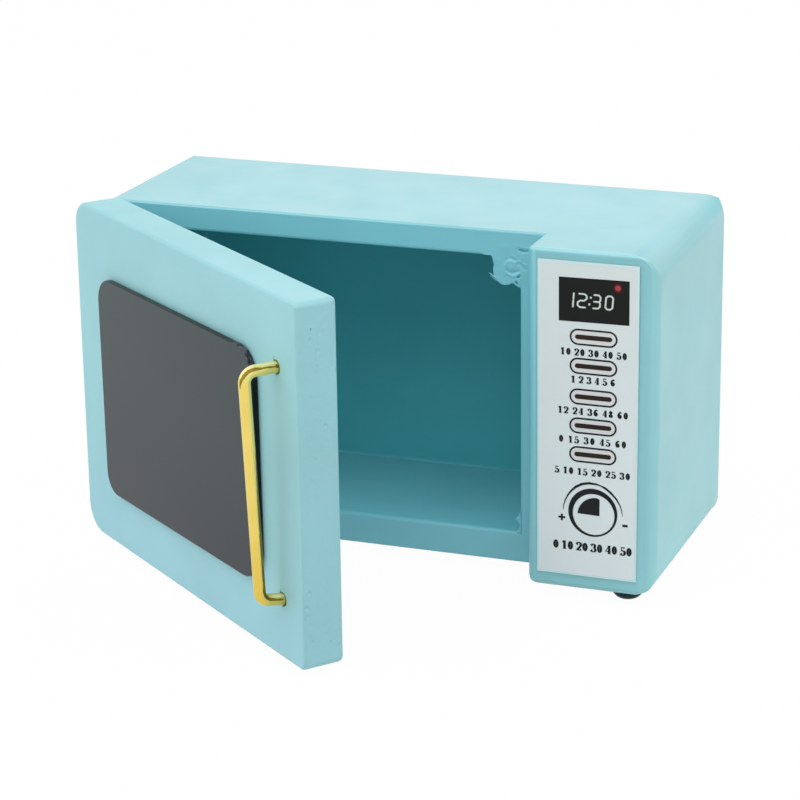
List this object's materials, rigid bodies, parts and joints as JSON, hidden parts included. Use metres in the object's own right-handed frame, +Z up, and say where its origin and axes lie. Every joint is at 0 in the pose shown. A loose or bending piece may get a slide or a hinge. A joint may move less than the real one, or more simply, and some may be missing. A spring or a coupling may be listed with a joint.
{
  "type": "dollhouse microwave",
  "caption": "Toy wooden microwave: painted box with an open cavity, hinged door with dark window and brass wire handle, and a printed control panel.",
  "frame": {"origin": "middle of the footprint of the whole toy with its door open as pictured, on the surface that it stands on", "axes": "+Z up; -Y out of the front, the way the control panel faces; +X to the right seen from the front, towards the control panel"},
  "size_m": [0.0478, 0.041, 0.0281],
  "materials": {
    "aqua_paint": "satin aqua paint over wood",
    "label_paper": "printed, satin",
    "smoked_plate": "gloss",
    "brass_wire": "polished",
    "brass_fittings": "plain",
    "steel": "plain",
    "dark_rubber": "glossy"
  },
  "bodies": {
    "cabinet": {"top_board": "aqua_paint", "bottom_board": "aqua_paint", "left_side_board": "aqua_paint", "partition_board": "aqua_paint", "back_board": "aqua_paint", "control_block": "aqua_paint", "catch_putty": "aqua_paint", "foot_front_left": "dark_rubber", "foot_front_right": "dark_rubber", "foot_back_left": "dark_rubber", "foot_back_right": "dark_rubber", "panel_label": "label_paper", "catch_magnet": "steel", "upper_hinge_cabinet_leaf": "brass_fittings", "upper_hinge_pin": "brass_fittings", "upper_hinge_cabinet_nail_low": "brass_fittings", "upper_hinge_cabinet_nail_high": "brass_fittings", "lower_hinge_cabinet_leaf": "brass_fittings", "lower_hinge_pin": "brass_fittings", "lower_hinge_cabinet_nail_low": "brass_fittings", "lower_hinge_cabinet_nail_high": "brass_fittings"},
    "door": {"door_panel": "aqua_paint", "door_window": "smoked_plate", "door_handle": "brass_wire", "door_catch_disc": "steel", "upper_hinge_door_leaf": "brass_fittings", "upper_hinge_door_nail_low": "brass_fittings", "upper_hinge_door_nail_high": "brass_fittings", "lower_hinge_door_leaf": "brass_fittings", "lower_hinge_door_nail_low": "brass_fittings", "lower_hinge_door_nail_high": "brass_fittings"}
  },
  "joints": [
    {"name": "door_hinge", "type": "hinge", "parent": "cabinet", "child": "door", "pos_m": [-0.02178, 0.00441, 0], "axis": [0, 0, -1], "range_deg": [-38.34, 61.66]}
  ]
}
